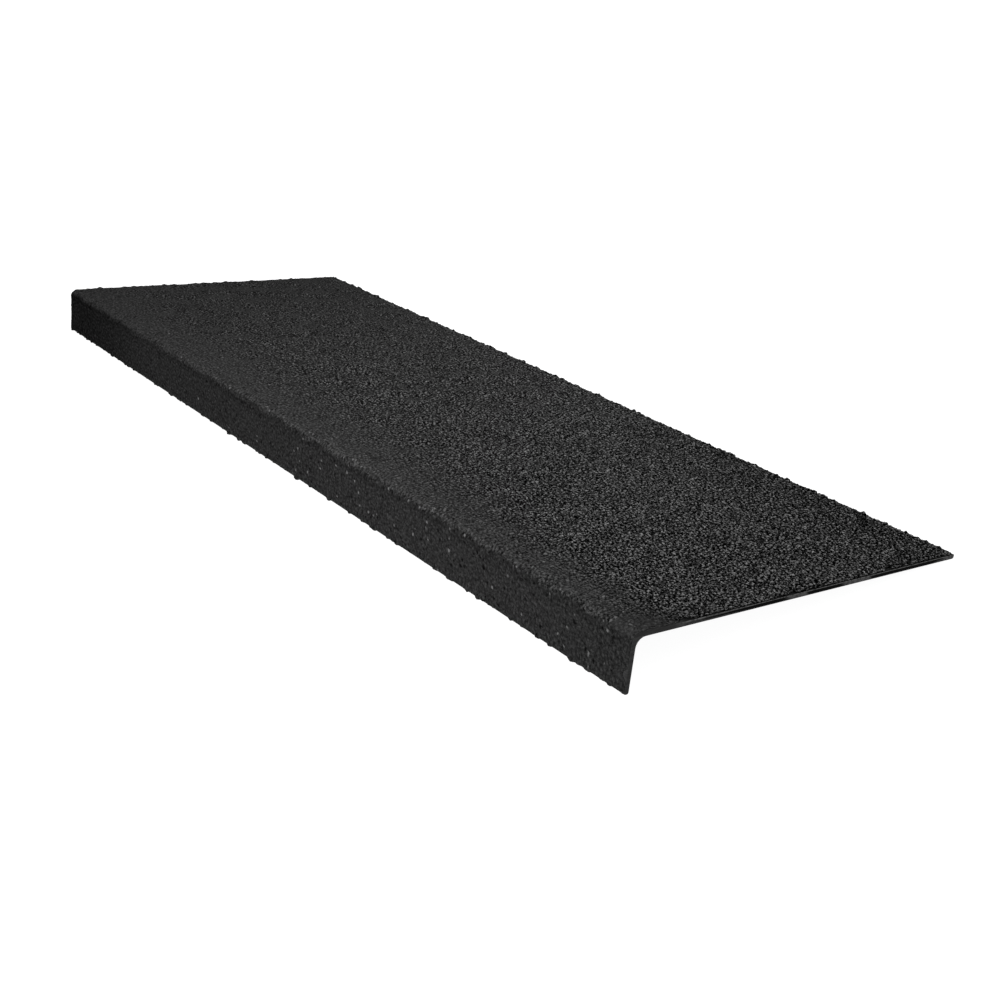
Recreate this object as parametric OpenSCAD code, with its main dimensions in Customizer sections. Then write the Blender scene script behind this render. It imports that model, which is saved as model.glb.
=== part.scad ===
// Anti-slip stair nosing: a deep L-shaped moulding that covers the tread of one step
// and turns down over its front edge.
// It lies unheld on a floor, on the lip's lower edge and the back edge, so the tread
// slopes down towards the back.
// The length runs along X and the lip faces -Y. The origin is on the floor, under the
// middle of the moulding's outer box.

/* [Nosing] */
// Length along the front edge of the step
length = 750; // [300:10:1500]
// Depth of the tread, from the front face of the lip to the back edge
depth = 270; // [120:1:400]
// Height of the front, from the top face of the tread to the lip's lower edge
lip_height = 36; // [25:0.5:80]

/* [Section] */
// Thickness of the tread and the lip
wall = 3.5; // [2.5:0.1:6]
// Inside radius of the bend between the tread and the lip
bend_radius = 6; // [1:0.5:12]
// Outside radius of the bend, where the moulding is thicker than its wall
corner_radius = 6.5; // [1:0.5:9]
// Rounding along the lip's lower edge and along the back edge
edge_radius = 1; // [0.2:0.1:1.2]

/* [Hidden] */
$fn = 96;

charcoal = [0.19, 0.19, 0.19];

// Slope at which the lip's lower edge and the back edge both touch the floor
rest_tilt = atan2(lip_height - wall, depth - wall);

// A point of the section, [y, z] with z = 0 at the tread's underside, after the tilt
function tilted(point) = [
    point.x * cos(rest_tilt) + point.y * sin(rest_tilt),
    point.y * cos(rest_tilt) - point.x * sin(rest_tilt)
];

// Centres of the three edge roundings that reach lowest, furthest front and furthest back
lip_foot = [wall - edge_radius, wall - lip_height + edge_radius];
lip_toe = [edge_radius, wall - lip_height + edge_radius];
back_top = [depth - edge_radius, wall - edge_radius];

// Reach of the tilted section
floor_level = tilted(lip_foot).y - edge_radius;
front_reach = tilted(lip_toe).x - edge_radius;
back_reach = tilted(back_top).x + edge_radius;

// Straight leg of the section, along +X from the origin, with its free end rounded
module leg(reach) {
    square([reach - edge_radius, wall]);
    translate([0, edge_radius])
        square([reach, wall - 2 * edge_radius]);
    for (level = [edge_radius, wall - edge_radius])
        translate([reach - edge_radius, level])
            circle(edge_radius);
}

// What lies between a square corner, at [0, radius], and the arc that rounds it
module spandrel(radius) {
    difference() {
        square(radius);
        translate([radius, 0])
            circle(radius);
    }
}

// L-shaped section: the tread along +X and the lip down along -Y, filled inside their corner
// and rounded outside it
module section() {
    difference() {
        union() {
            leg(depth);
            translate([0, wall])
                rotate(-90)
                    leg(lip_height);
            translate([wall, -bend_radius])
                spandrel(bend_radius);
        }
        translate([0, wall - corner_radius])
            spandrel(corner_radius);
    }
}

module stair_nosing() {
    color(charcoal)
        translate([-length / 2, -(front_reach + back_reach) / 2, -floor_level])
            rotate([-rest_tilt, 0, 0])
                rotate([90, 0, 90])
                    linear_extrude(length)
                        section();
}

stair_nosing();
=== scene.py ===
"""Looks of a deep anti-slip stair nosing: a moulded laminate under a coat of bonded grit.

Lengths are in metres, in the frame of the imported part: X along the length, the lip at -Y, Z up.
The near end is the one at +X, and the far end the one at -X.
"""

import logging
import math
from dataclasses import dataclass, field
from enum import Enum
from typing import Any, Union

import bpy
import numpy as np
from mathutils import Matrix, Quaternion, Vector


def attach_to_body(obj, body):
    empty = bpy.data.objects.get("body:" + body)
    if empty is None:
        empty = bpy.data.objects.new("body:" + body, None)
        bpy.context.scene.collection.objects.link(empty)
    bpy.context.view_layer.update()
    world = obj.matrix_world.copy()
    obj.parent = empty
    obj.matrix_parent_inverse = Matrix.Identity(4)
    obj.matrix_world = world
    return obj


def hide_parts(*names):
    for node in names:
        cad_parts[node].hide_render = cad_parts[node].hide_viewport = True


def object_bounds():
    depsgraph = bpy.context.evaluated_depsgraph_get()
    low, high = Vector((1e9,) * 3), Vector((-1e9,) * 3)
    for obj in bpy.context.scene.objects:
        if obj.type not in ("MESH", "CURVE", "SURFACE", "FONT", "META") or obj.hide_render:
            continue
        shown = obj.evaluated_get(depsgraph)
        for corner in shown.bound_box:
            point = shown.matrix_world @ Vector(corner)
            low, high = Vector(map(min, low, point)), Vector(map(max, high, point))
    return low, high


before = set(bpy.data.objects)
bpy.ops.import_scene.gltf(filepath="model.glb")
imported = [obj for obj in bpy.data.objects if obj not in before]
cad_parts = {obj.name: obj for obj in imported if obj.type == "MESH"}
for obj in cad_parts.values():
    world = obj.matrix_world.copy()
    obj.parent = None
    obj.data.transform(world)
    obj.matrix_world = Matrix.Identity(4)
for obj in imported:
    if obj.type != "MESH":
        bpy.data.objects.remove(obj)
CAD_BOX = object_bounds()

NODE = "stair_nosing"
BODY = "root"
BAKE_MAP = "OFBake"
MM = 0.001
QUARTER = math.pi / 2
MIDDLE = 0.5
WHITE = (1.0, 1.0, 1.0, 1.0)

LOG = logging.getLogger(NODE)

Colour = tuple[float, float, float]
Place = tuple[float, float, float]
Limits = tuple[float, float]
Amount = Union[float, np.ndarray]
Operand = Union["Signal", float, int, tuple]


def eased(low: Amount, high: Amount, value: np.ndarray) -> np.ndarray:
    """Eases values from 0 at low to 1 at high."""
    share = np.clip((value - low) / (high - low), 0.0, 1.0)
    return share * share * (3.0 - 2.0 * share)


def faces(*corners: np.ndarray) -> np.ndarray:
    """Sets arrays of corners side by side, as one face to a row."""
    return np.stack([corner.ravel() for corner in corners], -1)


def sheet(grid: np.ndarray) -> np.ndarray:
    """Lists the faces between a grid's point numbers."""
    return faces(grid[:-1, :-1], grid[1:, :-1], grid[1:, 1:], grid[:-1, 1:])


def added(name: str, data: bpy.types.ID) -> bpy.types.Object:
    """Adds an object to the scene.

    Args:
        name: the object's name.
        data: its mesh, light or camera.

    Returns:
        The new object.
    """
    made = bpy.data.objects.new(name, data)
    bpy.context.scene.collection.objects.link(made)
    return made


class Signal:
    """A shader output, with its maths written as Python expressions."""

    def __init__(self, graph: "ShaderGraph", socket: bpy.types.NodeSocket) -> None:
        """Wraps one output socket of a graph."""
        self.graph = graph
        self.socket = socket

    def _maths(self, operation: str, first: Operand, second: Operand) -> "Signal":
        """Adds the Math node that joins two operands."""
        return self.graph.node("ShaderNodeMath", {"operation": operation}, {0: first, 1: second})

    def __add__(self, other: Operand) -> "Signal":
        """Sum."""
        return self._maths("ADD", self, other)

    def __radd__(self, other: Operand) -> "Signal":
        """Sum, from the right."""
        return self._maths("ADD", other, self)

    def __sub__(self, other: Operand) -> "Signal":
        """Difference."""
        return self._maths("SUBTRACT", self, other)

    def __rsub__(self, other: Operand) -> "Signal":
        """Difference, from the right."""
        return self._maths("SUBTRACT", other, self)

    def __mul__(self, other: Operand) -> "Signal":
        """Product."""
        return self._maths("MULTIPLY", self, other)

    def __rmul__(self, other: Operand) -> "Signal":
        """Product, from the right."""
        return self._maths("MULTIPLY", other, self)

    def __pow__(self, other: Operand) -> "Signal":
        """Power."""
        return self._maths("POWER", self, other)

    def __rpow__(self, other: Operand) -> "Signal":
        """Power, from the right."""
        return self._maths("POWER", other, self)

    def centred(self) -> "Signal":
        """Shifts a signal of 0 to 1 so that it lies about 0."""
        return self - MIDDLE

    def eased(self, low: float, high: float) -> "Signal":
        """Eases the signal from 0 at low to 1 at high."""
        settings = {"interpolation_type": "SMOOTHSTEP"}
        return self.graph.node("ShaderNodeMapRange", settings, {0: self, 1: low, 2: high})


class ShaderGraph:
    """The node tree of one new material."""

    def __init__(self, name: str) -> None:
        """Makes a material with a Principled shader.

        Args:
            name: the material's name.
        """
        self.material = bpy.data.materials.new(name)
        self.material.use_nodes = True
        self.tree = self.material.node_tree

    def _feed(self, node: bpy.types.Node, inputs: dict[Any, Operand]) -> None:
        """Links or sets a node's sockets.

        Args:
            node: the node to feed.
            inputs: values or signals, by the socket's name or number.
        """
        for key, value in inputs.items():
            if isinstance(value, Signal):
                self.tree.links.new(value.socket, node.inputs[key])
            else:
                node.inputs[key].default_value = value

    def node(self, kind: str, settings: dict[str, Any], inputs: dict[Any, Operand],
             output: Union[int, str] = 0) -> Signal:
        """Adds a node.

        Args:
            kind: the node's Blender type.
            settings: the node's own properties, which are set first.
            inputs: values or signals of its sockets, by name or number.
            output: which output to return, by name or number.

        Returns:
            The chosen output.
        """
        made = self.tree.nodes.new(kind)
        for key, value in settings.items():
            setattr(made, key, value)
        self._feed(made, inputs)
        return Signal(self, made.outputs[output])

    def attribute(self, name: str) -> Signal:
        """Reads a number that the mesh holds at each point."""
        return self.node("ShaderNodeAttribute", {"attribute_name": name}, {}, "Fac")

    def place(self) -> Signal:
        """Reads the place on the object, in metres."""
        return self.node("ShaderNodeTexCoord", {}, {}, "Object")

    def unrolled(self) -> Signal:
        """Reads the place as on a flat sheet: along the length, and over the tread or the lip."""
        x, y, z = (self.node("ShaderNodeSeparateXYZ", {}, {0: self.place()}, axis) for axis in "XYZ")
        return self.node("ShaderNodeCombineXYZ", {}, {"X": x, "Y": y + z})

    def stretched(self, vector: Signal, scale: Place, turn: float = 0.0) -> Signal:
        """Turns a vector about Z, by an angle in degrees, then scales it along X, Y and Z."""
        turned = self.node("ShaderNodeVectorRotate", {"rotation_type": "Z_AXIS"},
                           {"Vector": vector, "Angle": math.radians(turn)})
        return self.node("ShaderNodeVectorMath", {"operation": "MULTIPLY"}, {0: turned, 1: scale})

    def noise(self, vector: Signal, scale: float = 1.0, detail: float = 2.0) -> Signal:
        """Adds a noise of about 0.5, with its cycles in one unit of the vector and its finer layers."""
        return self.node("ShaderNodeTexNoise", {}, {"Vector": vector, "Scale": scale, "Detail": detail})

    def cells(self, vector: Signal, scale: float) -> Signal:
        """Splits space into small cells, each with a random number about 0.5."""
        colour = self.node("ShaderNodeTexVoronoi", {}, {"Vector": vector, "Scale": scale}, "Color")
        return self.node("ShaderNodeRGBToBW", {}, {"Color": colour})

    def blend(self, share: Operand, first: Union[Signal, Colour], second: Union[Signal, Colour]) -> Signal:
        """Mixes two colours.

        Args:
            share: 0 for the first colour and 1 for the second.
            first: a colour or a signal.
            second: a colour or a signal.

        Returns:
            The mixed colour.
        """
        settings = {"data_type": "RGBA", "blend_type": "MIX"}
        first, second = (c if isinstance(c, Signal) else (*c, 1.0) for c in (first, second))
        return self.node("ShaderNodeMix", settings, {0: share, 6: first, 7: second}, 2)

    def bump(self, height: Signal, distance: float, strength: float) -> Signal:
        """Turns a height of 0 to 1 into a normal, by its depth in metres and how much of it shows."""
        inputs = {"Height": height, "Distance": distance, "Strength": strength}
        return self.node("ShaderNodeBump", {}, inputs)

    def dressed(self, inputs: dict[str, Operand]) -> bpy.types.Material:
        """Feeds the Principled shader and returns the material."""
        self._feed(self.tree.nodes["Principled BSDF"], inputs)
        return self.material


class GritValue(Enum):
    """What the coat's points hold for its finish."""

    RELIEF = "relief"
    TONE = "tone"
    SPECK = "speck"
    OPEN = "open"
    RESIN = "resin"


@dataclass(frozen=True)
class GritFinish:
    """Mineral grains in dark resin, shinier on top; painted shade makes the gaps between grains black and
    painted light makes the tops greyer.
    """

    pit: Colour = (0.0, 0.0, 0.0)
    grain: Colour = (0.17, 0.17, 0.17)
    speck: Colour = (0.09, 0.09, 0.09)
    # Painted shade and light: how far a point's height among its neighbours darkens the gaps and lightens
    # the tops.
    cavity_shade_weight: float = 0.85
    facet_weight: float = 1.05
    tone_weight: float = 0.4
    fine_weight: float = 0.5
    open_level: float = 0.356
    flooded_gain: float = 0.16
    # Resin darkens the grains; the same value paints shade at the far end, the lip's far corner and the
    # near back corner, and a highlight on the bend's crest.
    resin_and_shade_drop: float = 0.076
    pit_drop: float = 0.2
    contrast: float = 2.7
    roughness: float = 0.8
    polish: float = 0.25
    coat_share: float = 0.06
    coat_limits: Limits = (0.4, 0.9)
    coat_roughness: float = 0.3
    facet_size: float = 0.72 * MM
    mottle_cycles: float = 420.0
    mottle_depth: float = 0.17
    fine_cycles: float = 1700.0
    fine_layers: float = 1.0
    fine_depth: float = 0.12 * MM
    fine_strength: float = 0.5

    def material(self) -> bpy.types.Material:
        """Builds the material from what the coat's points hold.

        Returns:
            The material.
        """
        graph = ShaderGraph("bonded_grit")
        relief, tone, speck, bare, resin = (graph.attribute(value.value) for value in GritValue)
        place = graph.place()
        facet = graph.cells(place, 1 / self.facet_size)
        fine = graph.noise(place, self.fine_cycles, self.fine_layers)
        mottle = graph.noise(place, self.mottle_cycles)
        # The cavity-shade term is painted shade in the gaps and painted light on the tops.
        change = (self.cavity_shade_weight * relief.centred() + self.facet_weight * facet.centred()
                  + self.tone_weight * tone.centred() + self.fine_weight * fine.centred())
        # The resin value also carries painted shade and the crest's painted highlight.
        middle = self.open_level + self.flooded_gain * (1.0 - bare) - self.resin_and_shade_drop * resin
        level = middle + bare * change + self.mottle_depth * mottle.centred() + self.pit_drop * speck
        colour = graph.blend(level.eased(0.0, 1.0) ** self.contrast, self.pit, self.grain)
        return graph.dressed({
            "Base Color": graph.blend(speck, colour, self.speck),
            "Roughness": self.roughness - self.polish * relief,
            "Specular IOR Level": 0.0,
            "Coat Weight": self.coat_share * relief.eased(*self.coat_limits),
            "Coat Roughness": self.coat_roughness,
            "Normal": graph.bump(fine, self.fine_depth, self.fine_strength),
        })


@dataclass(frozen=True)
class SealedEdgeFinish:
    """Resin brushed over the sawn ends: dark, streaked along the cut, with a painted highlight on the
    arris, paler where the layers hold, and painted black shade in the voids and under the grit's edge.
    """

    dark: Colour = (0.015, 0.015, 0.015)
    light: Colour = (0.027, 0.027, 0.027)
    # Painted highlight colour for the arrises, also used for the paler end face.
    paled: Colour = (0.13, 0.13, 0.13)
    # Painted black shade for the voids and under the grit's edge.
    void: Colour = (0.001, 0.001, 0.001)
    streak_cycles: Place = (300.0, 60.0, 900.0)
    streak_limits: Limits = (0.3, 0.7)
    mottle_cycles: float = 700.0
    paling_limits: Limits = (0.3, 0.6)
    void_shade_limits: Limits = (0.2, 0.8)
    roughness: float = 0.6
    mottle_roughness: float = 0.3
    shine: float = 0.03
    relief_depth: float = 0.1 * MM
    relief_strength: float = 0.4

    def material(self) -> bpy.types.Material:
        """Builds the material from the painted highlight, the paling and the painted shade that the body's
        points hold.

        Returns:
            The material.
        """
        graph = ShaderGraph("sealed_edge")
        place = graph.place()
        streak = graph.noise(graph.stretched(place, self.streak_cycles))
        mottle = graph.noise(place, self.mottle_cycles)
        # Painted highlight on the arrises, and a paler end face where the layers hold.
        paling = graph.attribute(Laminate.ARRIS_HIGHLIGHT_AND_PALING) * mottle.eased(*self.paling_limits)
        # Painted black shade in the voids and under the grit's edge.
        hollow = graph.attribute(Laminate.VOID_SHADE).eased(*self.void_shade_limits)
        resin = graph.blend(streak.eased(*self.streak_limits), self.dark, self.light)
        paled = graph.blend(paling, resin, self.paled)
        return graph.dressed({
            "Base Color": graph.blend(hollow, paled, self.void),
            "Roughness": self.roughness + self.mottle_roughness * mottle.centred(),
            "Specular IOR Level": self.shine,
            "Normal": graph.bump(streak + mottle, self.relief_depth, self.relief_strength),
        })


@dataclass(frozen=True)
class MatFinish:
    """The plain back of the laminate: chopped glass strands under black resin."""

    resin: Colour = (0.010, 0.010, 0.011)
    strand: Colour = (0.032, 0.032, 0.033)
    turns: tuple[float, ...] = (12.0, 71.0, 128.0)
    strand_cycles: Place = (40.0, 900.0, 40.0)
    strand_layers: float = 1.0
    strand_limits: Limits = (0.55, 0.68)
    strand_share: float = 0.5
    pool_cycles: float = 60.0
    pool_layers: float = 3.0
    pool_height: float = 0.4
    roughness: float = 0.55
    pool_roughness: float = 0.35
    strand_roughness: float = 0.1
    shine: float = 0.15
    relief_depth: float = 0.25 * MM
    relief_strength: float = 0.5

    def material(self) -> bpy.types.Material:
        """Builds the material from strands laid in a few directions.

        Returns:
            The material.
        """
        graph = ShaderGraph("strand_mat_back")
        place = graph.unrolled()
        beds = [graph.stretched(place, self.strand_cycles, turn) for turn in self.turns]
        lines = [graph.noise(bed, detail=self.strand_layers).eased(*self.strand_limits) for bed in beds]
        strands = sum(lines) * (1.0 / len(lines))
        pool = graph.noise(place, self.pool_cycles, self.pool_layers)
        dulled = self.pool_roughness * pool.centred() + self.strand_roughness * strands
        relief = strands + self.pool_height * pool
        return graph.dressed({
            "Base Color": graph.blend(strands * (self.strand_share + pool), self.resin, self.strand),
            "Roughness": self.roughness + dulled,
            "Specular IOR Level": self.shine,
            "Normal": graph.bump(relief, self.relief_depth, self.relief_strength),
        })


@dataclass(frozen=True)
class FloorFinish:
    """A plain pale light table."""

    colour: Colour = (0.18, 0.18, 0.18)
    glow: float = 0.95
    roughness: float = 0.7
    shine: float = 0.1

    def material(self) -> bpy.types.Material:
        """Builds the material."""
        return ShaderGraph("pale_floor").dressed({
            "Base Color": (*self.colour, 1.0),
            "Roughness": self.roughness,
            "Specular IOR Level": self.shine,
            "Emission Color": WHITE,
            "Emission Strength": self.glow,
        })


@dataclass
class Skin:
    """Points and faces of one piece, and the numbers that its points hold, before its mesh is made."""

    points: np.ndarray
    quads: np.ndarray
    triangles: np.ndarray = field(default_factory=lambda: np.zeros((0, 3), int))
    smooth: bool = True
    values: dict[str, np.ndarray] = field(default_factory=dict)

    def build(self, name: str, materials: list[bpy.types.Material]) -> bpy.types.Object:
        """Makes the object and links it to the scene.

        Args:
            name: the piece's name.
            materials: its material slots.

        Returns:
            The new object.
        """
        mesh = bpy.data.meshes.new(name)
        corners = np.concatenate([self.quads.ravel(), self.triangles.ravel()]).astype(np.int32)
        totals = np.concatenate([np.full(len(self.quads), 4), np.full(len(self.triangles), 3)])
        starts = np.concatenate([[0], np.cumsum(totals)[:-1]])
        mesh.vertices.add(len(self.points))
        mesh.vertices.foreach_set("co", self.points.astype(np.float32).ravel())
        mesh.loops.add(len(corners))
        mesh.loops.foreach_set("vertex_index", corners)
        mesh.polygons.add(len(totals))
        mesh.polygons.foreach_set("loop_start", starts.astype(np.int32))
        mesh.polygons.foreach_set("use_smooth", np.full(len(totals), self.smooth))
        for material in materials:
            mesh.materials.append(material)
        mesh.update(calc_edges=True)
        for key, value in self.values.items():
            kept = np.zeros(len(self.points), np.float32)
            kept[:value.size] = value.ravel()
            mesh.attributes.new(key, "FLOAT", "POINT").data.foreach_set("value", kept)
        return added(name, mesh)


@dataclass(frozen=True)
class Section:
    """The L-shaped section, in the tread's own frame, and where it lies in the part's frame.

    y runs back from the lip's front face and z up from the tread's underside. Arc length runs over the
    outside: round the back edge, along the tread to the front, round the bend, down the lip and round its
    lower edge.
    """

    depth: float = 270 * MM
    lip_height: float = 36 * MM
    wall: float = 3.5 * MM
    bend_radius: float = 6 * MM
    corner_radius: float = 6.5 * MM
    edge_radius: float = 1 * MM

    @property
    def tilt(self) -> float:
        """Slope at which the lip's lower edge and the back edge both touch the floor."""
        return math.atan2(self.lip_height - self.wall, self.depth - self.wall)

    @property
    def stretches(self) -> np.ndarray:
        """Arc lengths at which the back edge, tread, bend, lip and lower edge end."""
        return np.cumsum([
            QUARTER * self.edge_radius,
            self.depth - self.edge_radius - self.corner_radius,
            QUARTER * self.corner_radius,
            self.lip_height - self.corner_radius - self.edge_radius,
            QUARTER * self.edge_radius,
        ])

    @property
    def tread_end(self) -> float:
        """Arc length at which the tread meets the bend."""
        return self.stretches[1]

    @property
    def bend_end(self) -> float:
        """Arc length at which the bend meets the lip."""
        return self.stretches[2]

    @property
    def girth(self) -> float:
        """Arc length of the whole outside."""
        return self.stretches[-1]

    def _progress(self, arc: np.ndarray) -> tuple[np.ndarray, ...]:
        """Splits arc lengths into what lies behind them.

        Args:
            arc: arc lengths on the outside.

        Returns:
            Turn at the back edge, share of the tread, turn at the bend, share of the lip, and turn at the
            lower edge.
        """
        ends = self.stretches
        starts = np.append(0.0, ends[:-1])
        shares = [np.clip((arc - start) / (end - start), 0.0, 1.0) for start, end in zip(starts, ends)]
        back, tread, bend, lip, low = shares
        return QUARTER * back, tread, QUARTER * bend, lip, QUARTER * low

    def _face(self, arc: np.ndarray, level: float, corner: float, run: float, side: int) -> np.ndarray:
        """Follows one face of the wall.

        Args:
            arc: arc lengths on the outside.
            level: the tread's height on this face.
            corner: the bend's radius on this face.
            run: how far behind the lip's front the bend starts.
            side: 1 for the outside and -1 for the inside.

        Returns:
            Points, as rows of y and z.
        """
        back, tread, bend, lip, low = self._progress(arc)
        edge = self.edge_radius
        y = self.depth + edge * (np.cos(back) - 1) - tread * (self.depth - edge - run)
        z = level + side * edge * (np.sin(back) - 1) + corner * (np.cos(bend) - 1)
        y = y - corner * np.sin(bend) + side * edge * (1 - np.cos(low))
        z = z - lip * (self.lip_height - run - edge) - edge * np.sin(low)
        return np.stack([y, z], -1)

    def outside(self, arc: np.ndarray) -> tuple[np.ndarray, np.ndarray]:
        """Follows the outside.

        Args:
            arc: arc lengths.

        Returns:
            Points and outward normals, as rows of y and z.
        """
        back, _, bend, _, low = self._progress(arc)
        facing = back + bend + low
        points = self._face(arc, self.wall, self.corner_radius, self.corner_radius, 1)
        return points, np.stack([np.cos(facing), np.sin(facing)], -1)

    def inside(self, arc: np.ndarray) -> np.ndarray:
        """Follows the inside, opposite the same arc lengths of the outside."""
        return self._face(arc, 0.0, self.bend_radius, self.wall + self.bend_radius, -1)

    def turned(self, points: np.ndarray) -> np.ndarray:
        """Tilts rows of y and z as the nosing lies."""
        cos, sin = math.cos(self.tilt), math.sin(self.tilt)
        return points @ np.array([[cos, -sin], [sin, cos]])

    def laid(self, points: np.ndarray) -> np.ndarray:
        """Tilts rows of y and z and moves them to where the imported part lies.

        Args:
            points: rows of y and z in the tread's frame.

        Returns:
            Rows of y and z in the part's frame.
        """
        edge, low = self.edge_radius, self.wall - self.lip_height + self.edge_radius
        foot, toe = self.turned(np.array([[self.wall - edge, low], [edge, low]])) - edge
        return self.turned(points) + np.array([CAD_BOX[0].y - toe[0], CAD_BOX[0].z - foot[1]])


@dataclass(frozen=True)
class Ripple:
    """Smooth random waves over a sheet, 0 on average with a spread of 1."""

    sizes: Limits
    seed: int
    count: int = 14

    def read(self, x: np.ndarray, y: np.ndarray) -> np.ndarray:
        """Reads the waves.

        Args:
            x: places along the sheet.
            y: places across the sheet.

        Returns:
            The waves' height.
        """
        random = np.random.default_rng(self.seed)
        total = 0.0
        for _ in range(self.count):
            size, turn, phase = random.uniform(*self.sizes), *random.uniform(0.0, math.tau, 2)
            total = total + np.sin(math.tau * (x * math.cos(turn) + y * math.sin(turn)) / size + phase)
        return total / math.sqrt(self.count / 2)


@dataclass(frozen=True)
class GritField:
    """Angular grains of one grade, scattered over the unrolled outside, at most one to a cell."""

    spacing: float
    radius: Limits
    height: Limits
    slope: float
    lean: float
    presence: float
    seed: int
    margin: float = 0.05

    NEIGHBOURS = (-1, 0, 1)
    SPARE_CELLS = 3

    def grains(self, along: np.ndarray, around: np.ndarray) -> tuple[np.ndarray, np.ndarray]:
        """Reads the grains' tops.

        Args:
            along: places along the length, from 0.
            around: arc lengths, from 0.

        Returns:
            Heights in metres, from 0 between grains, and each place's tone, 0 to 1, one value for a grain.
        """
        random = np.random.default_rng(self.seed)
        u, v = along / self.spacing + 1.0, around / self.spacing + 1.0
        cells = (int(u.max()) + self.SPARE_CELLS, int(v.max()) + self.SPARE_CELLS)
        centre_u, centre_v = random.uniform(self.margin, 1.0 - self.margin, (2, *cells))
        radius = random.uniform(*self.radius, cells)
        height = random.uniform(*self.height, cells)
        lean_u, lean_v = random.normal(0.0, self.lean, (2, *cells))
        spin = random.uniform(0.0, math.pi, cells)
        tones = random.uniform(0.0, 1.0, cells)
        height[random.uniform(0.0, 1.0, cells) > self.presence] = 0.0
        best = np.zeros_like(u)
        tone = np.full_like(u, MIDDLE)
        for step_u in self.NEIGHBOURS:
            for step_v in self.NEIGHBOURS:
                cell = (u.astype(int) + step_u, v.astype(int) + step_v)
                du = (u - cell[0] - centre_u[cell]) * self.spacing
                dv = (v - cell[1] - centre_v[cell]) * self.spacing
                crown = height[cell] + lean_u[cell] * du + lean_v[cell] * dv
                side = (radius[cell] - self._hexagon(du, dv, spin[cell])) * self.slope
                grain = np.where(height[cell] > 0.0, np.minimum(crown, side), 0.0)
                tone = np.where(grain > best, tones[cell], tone)
                best = np.maximum(best, grain)
        return best, tone

    @staticmethod
    def _hexagon(du: np.ndarray, dv: np.ndarray, spin: np.ndarray) -> np.ndarray:
        """Measures how far a place is from a grain's middle, by a hexagon turned by spin."""
        turns = [spin + k * math.pi / 3 for k in range(3)]
        return np.maximum.reduce([np.abs(np.cos(turn) * du + np.sin(turn) * dv) for turn in turns])


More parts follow.
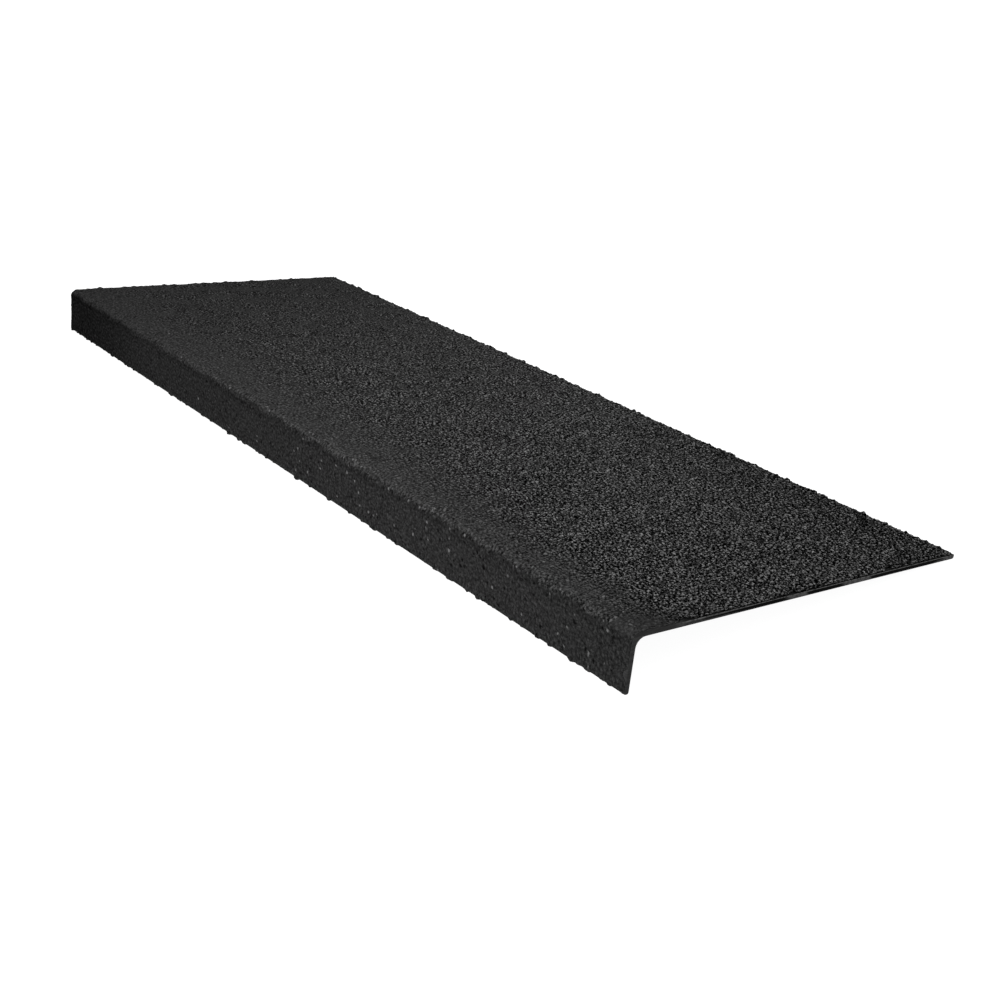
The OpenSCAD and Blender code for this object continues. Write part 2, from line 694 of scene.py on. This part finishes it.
@dataclass
class ResinAndPaintedLight:
    """How resin lies over the coat's points: between the tread's grains, over the lip and at the ends,
    with painted shade and a painted highlight besides.

    Black resin starts with a bead, along a wavering line on the bend, and covers the lip. Painted shade
    darkens the far end, the lip's far corner and the near back corner, and a painted highlight lightens
    the bend's crest.
    """

    section: Section
    length: float
    x: np.ndarray
    arc: np.ndarray
    bend_flood: float = 0.86
    bend_gap: float = 2 * MM
    bend_reach: float = 54 * MM
    bend_spread: float = 34 * MM
    near_end: Limits = (150 * MM, 260 * MM)
    far_flood: float = 0.85
    pools: Ripple = Ripple((14 * MM, 45 * MM), 43)
    pool_flood: float = 0.12
    line_rise: float = 3.4 * MM
    line_waver: float = 0.6 * MM
    line_fade: float = 3 * MM
    waver: Ripple = Ripple((8 * MM, 35 * MM), 47)
    bead: float = 0.4
    bead_reach: float = 9 * MM
    # Painted shade towards the far end, which also floods the grains there.
    far_shade_and_flood: float = 0.6
    far_power: int = 3
    # Painted shade on the lip towards the far end.
    far_lip_shade: float = 1.2
    lip_corner_reach: float = 180 * MM
    patch_resin: float = 0.5
    patch_limits: Limits = (16 * MM, 40 * MM)
    # Painted highlight along the bend's crest.
    crest_highlight: float = 0.1
    crest_reach: float = 9 * MM
    back_corner_shade: float = 0.9
    back_corner_reach: float = 90 * MM

    def _far(self) -> np.ndarray:
        """Gives 0 at the near end and 1 at the far end."""
        return MIDDLE - self.x / self.length

    def _past_line(self) -> np.ndarray:
        """Measures how far points lie past the wavering line on the bend where black resin starts."""
        line = self.section.bend_end - self.line_rise
        return self.arc - line - self.line_waver * self.waver.read(self.x, np.zeros_like(self.x))

    def crest(self) -> np.ndarray:
        """Gives 1 along the top of the bend, where the grains get a painted highlight, and 0 on the tread
        and lip.

        Returns:
            Shares from 0 to 1.
        """
        past = self._past_line()
        covered = eased(-self.line_fade, self.line_fade, past)
        return eased(-self.crest_reach, -self.line_fade, past) * (1 - covered)

    def patch(self) -> np.ndarray:
        """Gives 1 where the near end of the bend is bare of grains, and 0 away from it."""
        away = np.hypot(self.x - self.length / 2, self.arc - self.section.tread_end)
        return 1 - eased(*self.patch_limits, away)

    def between(self) -> np.ndarray:
        """Gives how far resin rises between the tread's grains: by the bend, to the far end and in pools.

        Returns:
            Shares from 0, open grit, to 1, flooded.
        """
        reach = self.bend_reach + self.bend_spread * (1 - eased(*self.near_end, self.x))
        from_bend = self.section.tread_end - self.arc
        by_bend = self.bend_flood * (1 - eased(self.bend_gap, reach, from_bend))
        to_far = self.far_flood * self._far()
        pooled = self.pool_flood * self.pools.read(self.x, self.arc)
        return np.clip(by_bend + (to_far + pooled) * (1 - by_bend), 0.0, 1.0)

    def over(self) -> np.ndarray:
        """Gives how far black resin covers the grains, on the lip and in the bare patch, with painted
        shade at the far end and on the lip's far corner.

        Returns:
            Shares from 0, no cover, to 1 and a little more, and less than 0 where the crest gets its
            painted highlight.
        """
        past = self._past_line()
        half = self.length / 2
        on_lip = eased(-self.line_fade, self.line_fade, past)
        bead = self.bead * (1 - eased(0.0, self.bead_reach, past))
        # Painted shade on the lip towards the far end.
        corner = self.far_lip_shade * eased(half - self.lip_corner_reach, half, -self.x)
        # Painted shade towards the far end.
        to_far = self.far_shade_and_flood * self._far() ** self.far_power
        patch = self.patch_resin * self.patch()
        cover = np.maximum.reduce([on_lip * (1 + bead + corner), patch, to_far])
        # The crest's painted highlight takes the cover below 0.
        return cover - self.crest_highlight * self.crest()

    def flooded(self) -> np.ndarray:
        """Gives how much of the grains' height and contrast resin takes away, from 0 to 1."""
        return np.clip(np.maximum.reduce([self.over(), self.patch(), self.between()]), 0.0, 1.0)

    def darkness(self) -> np.ndarray:
        """Gives how much the grains are darkened, as over() does, and by painted shade towards the near
        back corner.
        """
        by_back = 1 - eased(0.0, self.back_corner_reach, self.arc)
        # Painted shade towards the near back corner.
        return self.over() + self.back_corner_shade * by_back * eased(0.0, self.length / 2, self.x)


class GritBand(Enum):
    """The coat's pieces, from the back edge to the lip."""

    BACK = "grit_tread_back"
    REAR = "grit_tread_rear"
    MIDDLE = "grit_tread_middle"
    FRONT = "grit_tread_front"
    NOSE = "grit_bend_and_lip"


@dataclass
class GritCoat:
    """The grit on the tread, bend and lip, as closed bands that stand in the laminate."""

    section: Section
    length: float
    finish: GritFinish
    fine: GritField = GritField(
        spacing=1.5 * MM, radius=(0.75 * MM, 1.25 * MM), height=(0.25 * MM, 0.95 * MM),
        slope=1.1, lean=0.3, presence=1.0, seed=23)
    coarse: GritField = GritField(
        spacing=4.5 * MM, radius=(1.1 * MM, 1.7 * MM), height=(0.9 * MM, 1.35 * MM),
        slope=1.0, lean=0.2, presence=0.5, seed=29)
    pitch: float = 0.73 * MM
    jitter: float = 0.28
    jitter_seed: int = 24
    bare_end: float = 0.55 * MM
    level: float = -0.45 * MM
    sink: float = 1.1 * MM
    floor_gap: float = 0.02 * MM
    lump: float = 0.12 * MM
    edge_lump: float = 0.7 * MM
    end_lump: float = 0.4 * MM
    edge_reach: float = 6 * MM
    clumps: Ripple = Ripple((4.5 * MM, 14 * MM), 31)
    fray: Ripple = Ripple((6 * MM, 24 * MM), 194)
    fray_depth: float = 2.4 * MM
    fray_start: float = 0.5
    fray_reach: float = 12 * MM
    relief_steps: int = 2
    relief_gain: float = 0.27
    speck_share: float = 0.006
    # Extra pale specks along the crest, as painted glints.
    crest_glints: float = 0.02
    speck_limits: Limits = (0.3, 0.7)
    pit_share: float = 0.02
    flooded_height: float = 0.35
    flooded_contrast: float = 0.10
    map_rows: int = 3
    map_share: float = 0.94
    map_pad: float = 0.01

    def build(self) -> list[bpy.types.Object]:
        """Builds the bands.

        Returns:
            The pieces, from the back edge to the lip.
        """
        girth = self.section.girth
        rows = np.linspace(0.0, girth, round(girth / self.pitch) + 1)
        reach = self.length / 2 - self.bare_end
        columns = np.linspace(-reach, reach, round(2 * reach / self.pitch) + 1)
        x, arc = self._scattered(columns, rows)
        height, values = self._grains(x, arc)
        points = self._raised(x, arc, height)
        feet = self._raised(x, arc, np.full_like(height, -self.sink))
        material = self.finish.material()
        cuts = self._cuts(rows)
        made = []
        for band, first, last in zip(GritBand, cuts[:-1], cuts[1:]):
            span = slice(first, last + 1)
            held = {key: value[span] for key, value in values.items()}
            piece = self._band(points[span], feet[span], held).build(band.value, [material])
            self._map(piece, last - first, len(columns) - 1)
            made.append(piece)
        return made

    def _cuts(self, rows: np.ndarray) -> list[int]:
        """Parts the rows into bands of like size on the tread, and one over the bend and lip.

        Args:
            rows: arc lengths.

        Returns:
            The row at which each band starts, and the last row.
        """
        on_tread = len(GritBand) - 1
        tread_rows = int(np.searchsorted(rows, self.section.tread_end))
        return [round(tread_rows * k / on_tread) for k in range(on_tread + 1)] + [len(rows) - 1]

    def _scattered(self, columns: np.ndarray, rows: np.ndarray) -> tuple[np.ndarray, np.ndarray]:
        """Lays out the coat's points, moved a little at random inside its borders, with frayed ends.

        Args:
            columns: places along the length.
            rows: arc lengths.

        Returns:
            Places and arc lengths, with one row for each arc length.
        """
        random = np.random.default_rng(self.jitter_seed)
        x, arc = np.meshgrid(columns, rows)
        inner = (slice(1, -1), slice(1, -1))
        size = x[inner].shape
        x[inner] += random.uniform(-self.jitter, self.jitter, size) * self.pitch
        arc[inner] += random.uniform(-self.jitter, self.jitter, size) * self.pitch
        notches = np.maximum(self.fray.read(np.sign(x) * self.length, arc) - self.fray_start, 0.0)
        frayed = self.fray_depth * notches
        reach = columns[-1]
        return x - np.sign(x) * frayed * eased(reach - self.fray_reach, reach, np.abs(x)), arc

    def _grains(self, x: np.ndarray, arc: np.ndarray) -> tuple[np.ndarray, dict[str, np.ndarray]]:
        """Sets the grains in their resin, with fewer pale specks towards the far end.

        Args:
            x: places along the length.
            arc: arc lengths.

        Returns:
            Heights over the outside, and what the points hold for the finish.
        """
        along = x + self.length / 2
        fine, tone = self.fine.grains(along, arc)
        coarse, _ = self.coarse.grains(along, arc)
        grains = np.maximum(fine, coarse)
        relief = self._relief(grains)
        cover = ResinAndPaintedLight(self.section, self.length, x, arc)
        flooded = cover.flooded()
        height = self.level + grains * (1 - (1 - self.flooded_height) * flooded) + self._lumps(x, arc)
        # Painted glints: more pale specks along the crest.
        specks = self.speck_share + self.crest_glints * cover.crest()
        specks = specks * eased(-self.length / 2, self.length / 4, x)
        marks = (tone > 1 - specks) - 1.0 * (tone < self.pit_share)
        held = {
            GritValue.RELIEF: relief,
            GritValue.TONE: tone,
            GritValue.SPECK: marks * eased(*self.speck_limits, relief),
            GritValue.OPEN: 1 - (1 - self.flooded_contrast) * flooded,
            # Resin, with painted shade and the crest's painted highlight.
            GritValue.RESIN: cover.darkness(),
        }
        return height, {key.value: value for key, value in held.items()}

    def _lumps(self, x: np.ndarray, arc: np.ndarray) -> np.ndarray:
        """Gives how far clumps of grit stand out, most along the long edges, and more at the far end.

        Args:
            x: places along the length.
            arc: arc lengths.

        Returns:
            Heights, from 0.
        """
        from_edge = np.minimum(arc, self.section.girth - arc)
        by_edge = (self.edge_lump - self.lump) * (1 - eased(0.0, self.edge_reach, from_edge))
        by_end = (self.end_lump - self.lump) * (1 - eased(0.0, self.edge_reach, self.length / 2 + x))
        return (self.lump + np.maximum(by_edge, by_end)) * np.maximum(self.clumps.read(x, arc), 0.0)

    def _relief(self, height: np.ndarray) -> np.ndarray:
        """Tells gaps from tops, by each point's height and its neighbours'.

        Args:
            height: heights of the grains.

        Returns:
            Shares from 0, in a gap between grains, to 1, on a top.
        """
        around = height
        steps = range(-self.relief_steps, self.relief_steps + 1)
        for axis in (0, 1):
            around = np.mean([np.roll(around, step, axis) for step in steps], axis=0)
        spread = np.std(height - around)
        return np.clip(MIDDLE + self.relief_gain * (height - around) / spread, 0.0, 1.0)

    def _raised(self, x: np.ndarray, arc: np.ndarray, height: np.ndarray) -> np.ndarray:
        """Places points over the nosing's outside, and none under the floor.

        Args:
            x: places along the length.
            arc: arc lengths.
            height: heights over the outside.

        Returns:
            Points in the part's frame, with one row for each arc length.
        """
        flat, normal = self.section.outside(arc)
        laid = self.section.laid(flat + normal * height[..., None])
        laid[..., 1] = np.maximum(laid[..., 1], CAD_BOX[0].z + self.floor_gap)
        return np.concatenate([x[..., None], laid], -1)

    def _band(self, top: np.ndarray, feet: np.ndarray, values: dict[str, np.ndarray]) -> Skin:
        """Closes one band: its grains, the walls round its border and its hidden base.

        Args:
            top: the grains' points, by row and column.
            feet: the points below them, of which the border is used.
            values: what the grains' points hold.

        Returns:
            The band's skin.
        """
        rows, columns = top.shape[:2]
        grid = np.arange(rows * columns).reshape(rows, columns)
        border = np.ones((rows, columns), bool)
        border[1:-1, 1:-1] = False
        base = np.full((rows, columns), -1)
        base[border] = rows * columns + np.arange(border.sum())
        points = np.concatenate([top.reshape(-1, 3), feet[border]])
        quads = np.concatenate([
            sheet(grid),
            faces(grid[0, :-1], grid[0, 1:], base[0, 1:], base[0, :-1]),
            faces(grid[-1, 1:], grid[-1, :-1], base[-1, :-1], base[-1, 1:]),
            faces(grid[1:, 0], grid[:-1, 0], base[:-1, 0], base[1:, 0]),
            faces(grid[:-1, -1], grid[1:, -1], base[1:, -1], base[:-1, -1]),
            faces(base[1:-2, 0], base[1:-2, -1], base[2:-1, -1], base[2:-1, 0]),
        ])
        hub, end_hub = base[1, -1], base[-2, -1]
        triangles = np.concatenate([
            faces(base[0, :-1], base[0, 1:], np.full(columns - 1, hub)),
            [[base[0, 0], hub, base[1, 0]]],
            faces(np.full(columns - 1, end_hub), base[-1, 1:], base[-1, :-1]),
            [[end_hub, base[-1, 0], base[-2, 0]]],
        ])
        return Skin(points, quads, triangles, smooth=False, values=values)

    def _map(self, piece: bpy.types.Object, rows: int, columns: int) -> None:
        """Unrolls a band onto a square: its grains folded into a few rows, and the rest in a thin strip.

        Args:
            piece: the band.
            rows: faces of the grains around the section.
            columns: faces of the grains along the length.
        """
        pad = self.map_pad
        per_row = math.ceil(columns / self.map_rows)
        row, column = np.meshgrid(np.arange(rows), np.arange(columns), indexing="ij")
        fold = column // per_row
        corners = [(0, 0), (1, 0), (1, 1), (0, 1)]
        u = np.stack([(column + right - fold * per_row) / per_row for down, right in corners], -1)
        v = np.stack([(row + down) / rows for down, right in corners], -1)
        u = pad + (1 - 2 * pad) * u
        v = (fold[..., None] + pad + (1 - 2 * pad) * v) * self.map_share / self.map_rows
        rest = len(piece.data.loops) - u.size
        strip = np.linspace(pad, 1 - pad, rest)
        edge = np.where(np.arange(rest) % 2, self.map_share + pad, 1 - pad)
        flat = np.stack([np.concatenate([u.ravel(), strip]), np.concatenate([v.ravel(), edge])], -1)
        layer = piece.data.uv_layers.new(name=BAKE_MAP)
        layer.uv.foreach_set("vector", flat.astype(np.float32).ravel())


@dataclass
class Laminate:
    """The moulded body under the grit, with sealed ends and a plain back."""

    section: Section
    length: float
    edge_finish: SealedEdgeFinish
    back_finish: MatFinish
    skin_drop: float = 0.55 * MM
    arris: float = 0.35 * MM
    arris_steps: int = 4
    station_pitch: float = 30 * MM
    arc_pitch: float = 2.5 * MM
    arc_steps: int = 4
    # Rings with less painted highlight than this get painted shade where the layers part.
    sheen_limit: float = 0.6
    # How much paler the end face is where the layers hold.
    face_paling: float = 0.3
    void_depth: float = 0.9 * MM
    void_arcs: tuple[float, ...] = (0.0, 16 * MM, 21 * MM, 175 * MM, 215 * MM, 245 * MM)
    void_tops: tuple[float, ...] = (0.05, 0.05, 0.07, 0.09, 0.32, 0.48)
    void_feet: tuple[float, ...] = (0.48, 0.48, 0.97, 0.96, 0.66, 0.52)
    void_bank: float = 0.06
    void_ripple: Ripple = Ripple((15 * MM, 60 * MM), 288)
    void_share: float = 0.8
    void_fade: float = 20 * MM
    end_facing: float = 0.3
    back_facing: float = 0.6

    NAME = "laminate"
    # Painted highlight on the arrises, and paling of the end face where the layers hold.
    ARRIS_HIGHLIGHT_AND_PALING = "wear"
    # Painted black shade in the voids and under the grit's edge.
    VOID_SHADE = "void"

    def build(self) -> bpy.types.Object:
        """Builds the body.

        Returns:
            The piece.
        """
        arc = self._arcs()
        across, depth = self._lines(arc)
        slab = self._slab(arc, across)
        rim = self._rim(*across.shape)
        places, insets, arris_sheen = self._stations()
        rings = [self._placed(place, self._inset(slab, inset).reshape(-1, 2)[rim])
                 for place, inset in zip(places, insets)]
        numbers = np.arange(len(rings) * len(rim)).reshape(len(rings), len(rim))
        pairs = zip(numbers[:-1], numbers[1:])
        quads = [faces(a, np.roll(a, -1), np.roll(b, -1), b) for a, b in pairs]
        fresh = np.setdiff1d(np.arange(across.size), rim)
        face = self._inset(slab, self.arris).reshape(-1, 2)[fresh]
        recess = depth.ravel()[fresh]
        caps = []
        for ring, side in ((numbers[0], -1), (numbers[-1], 1)):
            cap = np.zeros(across.size, int)
            cap[rim] = ring
            cap[fresh] = numbers.size + len(caps) * len(fresh) + np.arange(len(fresh))
            caps.append(self._placed(side * (self.length / 2 - recess), face))
            quads.append(sheet(cap.reshape(across.shape))[:, ::side])
        parted = np.zeros(len(rim))
        parted[:len(arc)] = self._parted(arc)
        # Painted shade: on the rings inside the arris, under the grit's edge, where the layers part, and
        # in the voids by their depth.
        shaded = np.outer(arris_sheen < self.sheen_limit, parted)
        hollow = recess / self.void_depth
        sound = self._parted(arc) - depth.max(axis=1) / self.void_depth
        # The end face pales where the layers hold; the arrises get a painted highlight.
        paled = self.face_paling * sound[fresh // across.shape[1]]
        values = {
            self.ARRIS_HIGHLIGHT_AND_PALING: np.concatenate([np.outer(arris_sheen, parted).ravel(), paled, paled]),
            self.VOID_SHADE: np.concatenate([shaded.ravel(), hollow, hollow]),
        }
        skin = Skin(np.concatenate(rings + caps), np.concatenate(quads), values=values)
        made = skin.build(self.NAME, [self.edge_finish.material(), self.back_finish.material()])
        self._dress(made)
        return made

    def _arcs(self) -> np.ndarray:
        """Lists the arc lengths at which the section has points.

        Returns:
            The arc lengths, from the back edge.
        """
        arcs = [np.zeros(1)]
        ends = self.section.stretches
        for start, end in zip(np.append(0.0, ends[:-1]), ends):
            steps = max(self.arc_steps, math.ceil((end - start) / self.arc_pitch))
            arcs.append(np.linspace(start, end, steps + 1)[1:])
        return np.concatenate(arcs)

    def _parted(self, arc: np.ndarray) -> np.ndarray:
        """Gives 1 where the layers part at the ends, from the back edge, and 0 at the bend and lip."""
        end = self.void_arcs[-1]
        return 1 - eased(end - self.void_fade, end, arc)

    def _lines(self, arc: np.ndarray) -> tuple[np.ndarray, np.ndarray]:
        """Lays out the ends' lines, with voids where the layers part, from the back edge to the bend.

        Args:
            arc: arc lengths.

        Returns:
            Shares of the wall from the outside, and depths of the void, both by arc length and by line.
        """
        wave = self.void_ripple.read(arc, np.zeros_like(arc))
        depth = self.void_depth * self._parted(arc) * np.clip(self.void_share + wave, 0.0, 1.0)
        top = np.interp(arc, self.void_arcs, self.void_tops)
        foot = np.interp(arc, self.void_arcs, self.void_feet)
        bank = self.void_bank * (foot - top)
        none = np.zeros_like(arc)
        across = [none, top / 2, top, top + bank, foot - bank, foot, (1 + foot) / 2, none + 1]
        hollow = [none] * 3 + [depth] * 2 + [none] * 3
        return np.stack(across, -1), np.stack(hollow, -1)

    def _slab(self, arc: np.ndarray, across: np.ndarray) -> np.ndarray:
        """Lays the section out as points across the wall.

        Args:
            arc: arc lengths.
            across: shares of the wall from the outside, by arc length and by line.

        Returns:
            Rows of y and z, by arc length and by line.
        """
        outer, normal = self.section.outside(arc)
        from_end = np.minimum(arc, arc[-1] - arc)
        drop = self.skin_drop * eased(0.0, QUARTER * self.section.edge_radius, from_end)
        outer = (outer - normal * drop[:, None])[:, None]
        inner = self.section.inside(arc)[:, None]
        return outer * (1 - across[..., None]) + inner * across[..., None]

    @staticmethod
    def _rim(rows: int, lines: int) -> np.ndarray:
        """Lists a slab's border as one loop, along the outside first."""
        index = np.arange(rows * lines).reshape(rows, lines)
        return np.concatenate([index[:, 0], index[-1, 1:], index[-2::-1, -1], index[0, -2:0:-1]])

    def _stations(self) -> tuple[np.ndarray, ...]:
        """Places the rings along the length.

        Returns:
            Their places, how far each draws in to round the ends' arrises, and how much painted highlight
            it gets.
        """
        turn = np.linspace(0.0, QUARTER, self.arris_steps)
        end = self.length / 2 - self.arris * (1 - np.sin(turn))
        drawn = self.arris * (1 - np.cos(turn))
        # Painted highlight, growing round the arris.
        sheen = np.sin(turn)
        inner = self.length / 2 - self.arris
        middle = np.linspace(-inner, inner, round(2 * inner / self.station_pitch) + 1)[1:-1]
        still = np.zeros(len(middle))
        parts = ((-end, middle, end), (drawn, still, drawn), (sheen, still, sheen))
        return tuple(np.concatenate([far[::-1], inside, near]) for far, inside, near in parts)

    @staticmethod
    def _inset(slab: np.ndarray, inset: float) -> np.ndarray:
        """Draws a slab's two faces in towards its middle.

        Args:
            slab: rows of y and z, by arc length and by line.
            inset: how far each face moves.

        Returns:
            The drawn slab.
        """
        middle = (slab[:, :1] + slab[:, -1:]) / 2
        half = np.linalg.norm(slab[:, :1] - middle, axis=-1, keepdims=True)
        return middle + (slab - middle) * (1 - inset / half)

    def _placed(self, x: Amount, flat: np.ndarray) -> np.ndarray:
        """Joins places along the length and rows of y and z into points of the part's frame."""
        return np.column_stack([np.broadcast_to(x, len(flat)), self.section.laid(flat)])

    def _dress(self, made: bpy.types.Object) -> None:
        """Gives the back and underside the strand mat, and the rest the sealed finish.

        Args:
            made: the body.
        """
        polygons = made.data.polygons
        normals = np.zeros(len(polygons) * 3, np.float32)
        polygons.foreach_get("normal", normals)
        along, y, z = normals.reshape(-1, 3).T
        cos, sin = math.cos(self.section.tilt), math.sin(self.section.tilt)
        under = -sin * y - cos * z
        behind = cos * y - sin * z
        plain = (np.abs(along) < self.end_facing) & (under + behind > self.back_facing)
        polygons.foreach_set("material_index", plain.astype(np.int32))


@dataclass(frozen=True)
class Softbox:
    """One rectangular studio light."""

    name: str
    place: Place
    size: Limits
    power: float
    target: Place = (0.0, 0.0, 0.0)

    def build(self) -> None:
        """Hangs the light, facing its target."""
        light = bpy.data.lights.new(self.name, "AREA")
        light.shape = "RECTANGLE"
        light.size, light.size_y = self.size
        light.energy = self.power
        lamp = added(self.name, light)
        lamp.location = self.place
        lamp.rotation_mode = "QUATERNION"
        lamp.rotation_quaternion = (Vector(self.target) - lamp.location).to_track_quat("-Z", "Y")
        lamp.visible_camera = False


@dataclass
class Studio:
    """The floor, the lights and the camera."""

    floor_finish: FloorFinish
    floor_reach: float = 9.0
    surround: float = 1.0
    camera_place: Place = (0.8637, -0.5855, 0.4164)
    azimuth: float = 53.089
    elevation: float = 24.72
    roll: float = -0.571
    field_of_view: float = 37.37
    softboxes: tuple[Softbox, ...] = (
        Softbox("overhead", place=(-0.12, 0.14, 0.5), size=(0.5, 0.35), power=1.45),
        Softbox("lip_fill", place=(0.22, -0.48, 0.2), size=(0.30, 0.25), power=1.6,
                target=(0.18, -0.13, 0.02)),
    )

    def build(self) -> None:
        """Builds the whole studio."""
        self._floor()
        self._surround()
        for softbox in self.softboxes:
            softbox.build()
        self._camera()
        bpy.context.scene.view_settings.view_transform = "Standard"

    def _floor(self) -> None:
        """Lays the floor under the nosing."""
        corners = ((-1, -1), (1, -1), (1, 1), (-1, 1))
        points = [(self.floor_reach * x, self.floor_reach * y, CAD_BOX[0].z) for x, y in corners]
        skin = Skin(np.array(points), np.array([[0, 1, 2, 3]]), smooth=False)
        skin.build("floor", [self.floor_finish.material()])

    def _surround(self) -> None:
        """Lights the scene evenly from all round."""
        world = bpy.data.worlds.new("white_tent")
        world.use_nodes = True
        background = world.node_tree.nodes["Background"]
        background.inputs["Color"].default_value = WHITE
        background.inputs["Strength"].default_value = self.surround
        bpy.context.scene.world = world

    def _camera(self) -> None:
        """Sets the camera where the photograph was taken from."""
        camera = added("camera", bpy.data.cameras.new("camera"))
        camera.data.angle = math.radians(self.field_of_view)
        turn, rise = math.radians(self.azimuth), math.radians(self.elevation)
        level = math.cos(rise)
        ahead = Vector((-math.sin(turn) * level, math.cos(turn) * level, -math.sin(rise)))
        rolled = Quaternion(ahead, math.radians(self.roll))
        camera.location = self.camera_place
        camera.rotation_mode = "QUATERNION"
        camera.rotation_quaternion = rolled @ ahead.to_track_quat("-Z", "Y")
        bpy.context.scene.camera = camera


def attach(piece: bpy.types.Object) -> None:
    """Rides a piece on the part's only body and reports it.

    Args:
        piece: the piece.
    """
    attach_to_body(piece, BODY)
    LOG.info("%s: %d faces", piece.name, len(piece.data.polygons))


def main() -> None:
    """Builds the body, the grit and the studio."""
    logging.basicConfig(level=logging.INFO, format="%(name)s %(message)s")
    section = Section()
    length = CAD_BOX[1].x - CAD_BOX[0].x
    body = Laminate(section, length, SealedEdgeFinish(), MatFinish()).build()
    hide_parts(NODE)
    attach(body)
    for band in GritCoat(section, length, GritFinish()).build():
        attach(band)
    Studio(FloorFinish()).build()


if __name__ == "__main__":
    main()
